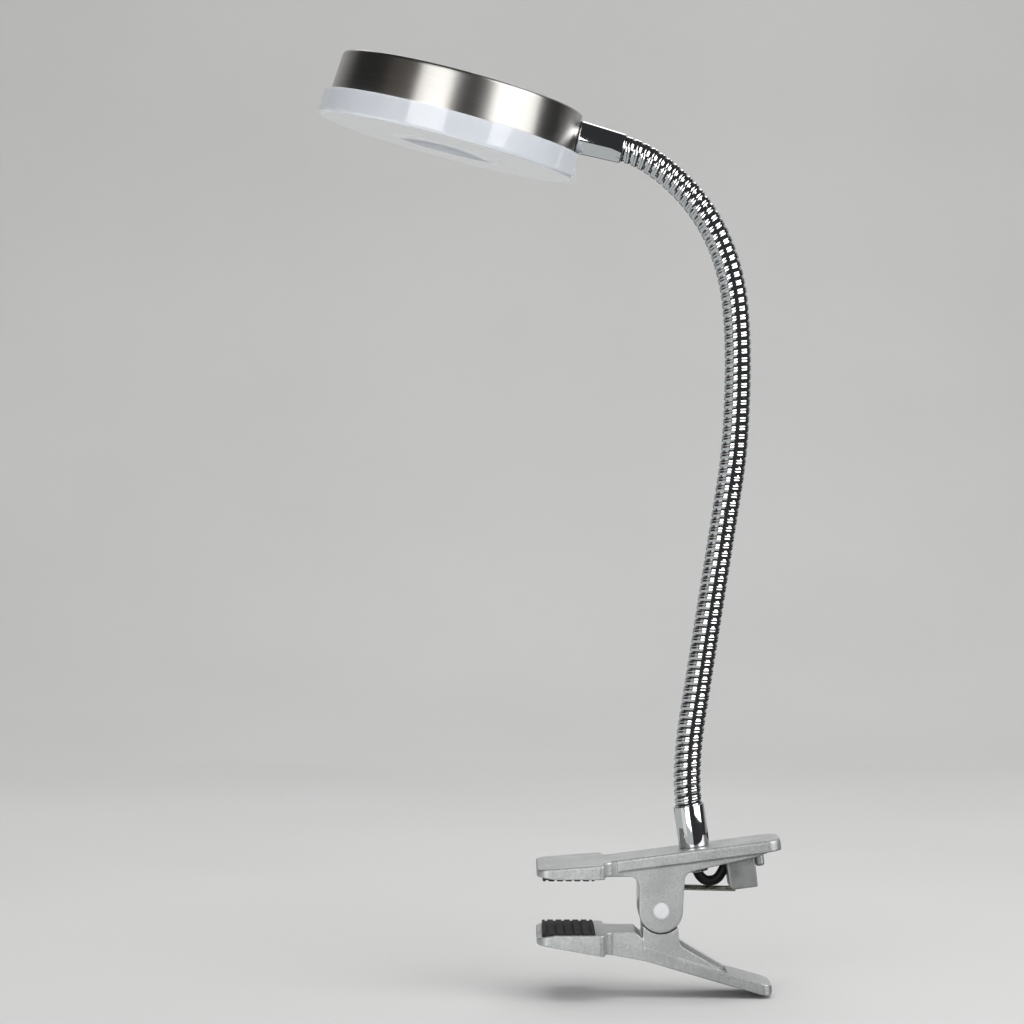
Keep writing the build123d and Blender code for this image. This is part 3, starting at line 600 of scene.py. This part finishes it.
# ---- housing: spun cup with a rounded rim and a boss drawn out for the neck ----
BOSS_R, BOSS_REACH = 5.9, 10.4  # the flat seat, and where the wall starts to leave its own form
NECK_SIDE = 20.0  # past this x the wall belongs to the neck's side
WALL_SLOPE = 0.072  # the wall's radius lost for each millimetre up
OUTER_SHARE = 0.9  # of the wall's thickness, counted as its outer face


def make_housing(materials):
    profile = rounded([
        (0, HOUSING_TOP, 0),
        (HOUSING_TOP_R, HOUSING_TOP, 1.1),
        (HOUSING_BOTTOM_R, HOUSING_BOTTOM, 0.25),
        (HOUSING_BOTTOM_R - HOUSING_WALL, HOUSING_BOTTOM, 0.2),
        (HOUSING_TOP_R - HOUSING_WALL, HOUSING_TOP - HOUSING_WALL, 0.6),
        (0, HOUSING_TOP - HOUSING_WALL, 0),
    ])
    profile = dense(profile, 0.6)
    seat_x = HEAD_REACH - HEAD_FERRULE_L - GASKET_T

    def drawn_out(p):
        """Moves the wall round the neck out to a flat seat, with a soft fillet about it."""
        x, y, z = p
        if x < NECK_SIDE:
            return p
        away = math.hypot(y, z)
        t = min(1.0, max(0.0, (BOSS_REACH - away) / (BOSS_REACH - BOSS_R)))
        weight = t * t * (3 - 2 * t)
        radius = math.hypot(x, y)
        outer_r = HOUSING_BOTTOM_R - (z - HOUSING_BOTTOM) * WALL_SLOPE
        target = seat_x if radius > outer_r - HOUSING_WALL * OUTER_SHARE else seat_x - HOUSING_WALL
        return (x + (target - x) * weight, y, z)

    piece = lathe("housing_shell", profile, HEAD, 360, drawn_out, 50.0)
    paint(piece, materials["brushed_nickel"])
    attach(piece, "head")
    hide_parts("housing")


def dense(profile, longest):
    """The same outline with long straight runs divided."""
    out = []
    for a, b in zip(profile, profile[1:] + profile[:1]):
        length = math.hypot(b[0] - a[0], b[1] - a[1])
        count = max(1, math.ceil(length / longest))
        out += [(a[0] + (b[0] - a[0]) * k / count, a[1] + (b[1] - a[1]) * k / count) for k in range(count)]
    return out


# ---- the castings and the cord block, with their edges softened ----
def evaluated(piece):
    """The piece with its modifiers applied."""
    bpy.context.view_layer.update()
    mesh = bpy.data.meshes.new_from_object(piece.evaluated_get(bpy.context.evaluated_depsgraph_get()))
    piece.modifiers.clear()
    piece.data = mesh


def make_casting(node, body, slot, materials):
    """A moulded or cast piece: the CAD part's own form with its sharp edges rounded over."""
    source = frame["nodes"][node]
    piece = bpy.data.objects.new(node + "_casting", source.data.copy())
    bpy.context.scene.collection.objects.link(piece)
    weld(piece, 2e-6)
    remesh = piece.modifiers.new("remesh", "REMESH")
    remesh.mode = "VOXEL"
    remesh.voxel_size = 0.25 * MM
    smooth = piece.modifiers.new("smooth", "SMOOTH")
    smooth.factor = 0.5
    smooth.iterations = 3
    thin = piece.modifiers.new("thin", "DECIMATE")
    thin.ratio = 0.4
    evaluated(piece)
    for face in piece.data.polygons:
        face.use_smooth = True
    paint(piece, materials[slot])
    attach(piece, body)
    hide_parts(node)


# ---- pivot pin: moulded, with a low dome for a head ----
PIN_R, PIN_HEAD_R, PIN_HEAD_T, CHEEK_HALF, PIN_TAIL = 2.2, 2.85, 0.9, 10.0, 1.3


def make_pin(materials):
    pivot = np.array(JOINTS["jaw_pivot"]["pos_m"]) / MM
    top = CHEEK_HALF + PIN_HEAD_T
    dome = [(PIN_HEAD_R * 0.8 * k / 6, top - 0.12 * (k / 6) ** 2) for k in range(7)]
    rim = rounded([
        (0, 0, 0), (PIN_HEAD_R, top - 0.2, 0.45), (PIN_HEAD_R, CHEEK_HALF, 0.08), (0, CHEEK_HALF, 0),
    ])
    profile = dome + rim[1:-1]
    end = -CHEEK_HALF - PIN_TAIL
    profile += [(PIN_R, CHEEK_HALF), (PIN_R, end + 0.4), (PIN_R - 0.4, end), (0, end)]
    piece = lathe("pivot_pin_moulded", profile, axis_frame(pivot, (0, -1, 0)), 64)
    paint(piece, materials["pin_white"])
    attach(piece, "clamp")
    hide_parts("pivot_pin")


# ---- torsion spring ----
SPRING_R, SPRING_WIRE_R, SPRING_PITCH, SPRING_TURNS = 6.5, 1.0, 2.05, 4
SPRING_TOP, SPRING_END = math.radians(87.9), math.radians(232.6)
UPPER_LEG, LOWER_LEG, LEG_STEPS = 26.0, 22.4, 8


def make_spring(materials):
    pivot = np.array(JOINTS["jaw_pivot"]["pos_m"]) / MM
    sweep = 2 * math.pi * SPRING_TURNS + SPRING_END - SPRING_TOP
    length = sweep / (2 * math.pi) * SPRING_PITCH

    def coil(a):
        return pivot + np.array((
            SPRING_R * math.cos(SPRING_TOP + a), length / 2 - length * a / sweep,
            SPRING_R * math.sin(SPRING_TOP + a),
        ))

    step = 0.08
    first = (coil(0.01) - coil(0)) / np.linalg.norm(coil(0.01) - coil(0))
    final = (coil(sweep) - coil(sweep - 0.01)) / np.linalg.norm(coil(sweep) - coil(sweep - 0.01))
    path = [coil(0) - first * UPPER_LEG * (1 - k / LEG_STEPS) for k in range(LEG_STEPS)]
    count = int(sweep / step)
    path += [coil(sweep * k / count) for k in range(count + 1)]
    path += [coil(sweep) + final * LOWER_LEG * k / LEG_STEPS for k in range(1, LEG_STEPS + 1)]
    points, faces = tube(np.array(path) * MM, SPRING_WIRE_R * MM, 20)
    piece = add_mesh("torsion_spring_wire", points, faces, 40.0)
    paint(piece, materials["spring_steel"])
    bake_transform(piece)
    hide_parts("torsion_spring")


# ---- floor and backdrop, and the lights ----
def make_stage():
    """A pale floor and wall that meet in a sweep. The chrome sees the wall and not the floor."""
    low = cad_low[2] - 0.0005
    back, top, bend = 1.6, 2.4, 0.7
    turns = [math.pi / 2 * k / 16 for k in range(17)]
    sweep = [(back - bend + bend * math.sin(a), low + bend - bend * math.cos(a)) for a in turns]
    paper = surface("floor_paper", (0.61, 0.61, 0.605), (0.64, 0.64, 0.635), 0.7, 0.85,
                    300.0, 0.00003, blotch=4.0)
    for name, profile in (("studio_floor", [(-2.5, low), sweep[0]]), ("studio_wall", [*sweep, (back, top)])):
        points = [(x, y, z) for y, z in profile for x in (-3.0, 3.0)]
        faces = [(2 * i, 2 * i + 1, 2 * i + 3, 2 * i + 2) for i in range(len(profile) - 1)]
        sheet = add_mesh(name, points, faces, 80.0)
        paint(sheet, paper)
        sheet.visible_glossy = name == "studio_wall"


def panel(name, place, aim, width, height, radiance, colour=(1, 1, 1), in_gloss=True):
    """An area light of an even radiance, from its place to what it is aimed at."""
    data = bpy.data.lights.new(name, "AREA")
    data.shape = "RECTANGLE"
    data.size, data.size_y = width, height
    data.energy = 4 * width * height * radiance
    data.color = colour
    light = bpy.data.objects.new(name, data)
    light.location = place
    light.rotation_mode = "QUATERNION"
    light.rotation_quaternion = (Vector(place) - Vector(aim)).to_track_quat("Z", "Y")
    light.visible_camera = False
    light.visible_glossy = in_gloss
    bpy.context.scene.collection.objects.link(light)


def around(azimuth, elevation, distance, centre=(0.0, 0.0, 0.15)):
    """A place round the lamp. Azimuth 0 is the camera's side, positive to the right."""
    a, e = math.radians(azimuth), math.radians(elevation)
    away = Vector((math.sin(a) * math.cos(e), -math.cos(a) * math.cos(e), math.sin(e)))
    return Vector(centre) + away * distance


def make_lights():
    world = bpy.data.worlds.new("studio")
    bpy.context.scene.world = world
    world.use_nodes = True
    world.node_tree.nodes["Background"].inputs["Color"].default_value = (0.80, 0.82, 0.85, 1.0)
    world.node_tree.nodes["Background"].inputs["Strength"].default_value = 0.04
    middle = (0.0, 0.0, 0.15)
    panel("box_left", around(-20, 6, 1.3), middle, 0.72, 1.0, 2.4)
    panel("box_right", around(57, 18, 1.3), (0.0, 0.0, 0.25), 1.15, 1.0, 2.4)
    panel("box_back", around(180, 48, 1.3), middle, 1.1, 0.5, 1.2)
    panel("card_brown", around(-55, 0, 1.3), middle, 0.65, 1.0, 0.22, (1.0, 0.86, 0.76))
    panel("table_glow", (-0.36, -0.05, -0.045), (-0.36, -0.05, 1.0), 0.78, 1.0, 0.34, (0.95, 1.0, 1.0))
    panel("face_fill", (-0.42, -0.05, -0.035), (-0.42, -0.05, 1.0), 0.5, 0.8, 1.2, in_gloss=False)
    panel("box_top", (0.1, -0.2, 1.7), (0.0, 0.2, 0.0), 1.6, 1.6, 2.2, in_gloss=False)
    panel("box_wall", (0.0, 0.6, 2.0), (0.0, 1.6, 0.6), 2.4, 0.5, 1.4, in_gloss=False)


bpy.context.scene.view_settings.view_transform = "Standard"
make_camera()
materials = make_materials()
paint_cad_nodes(materials)
make_gooseneck(materials)
make_ferrules(materials)
make_housing(materials)
make_casting("upper_jaw", "clamp", "cast_metal", materials)
make_casting("lower_jaw", "lever", "cast_metal", materials)
make_casting("cord_block", "clamp", "block_grey", materials)
make_pin(materials)
make_spring(materials)
make_stage()
make_lights()
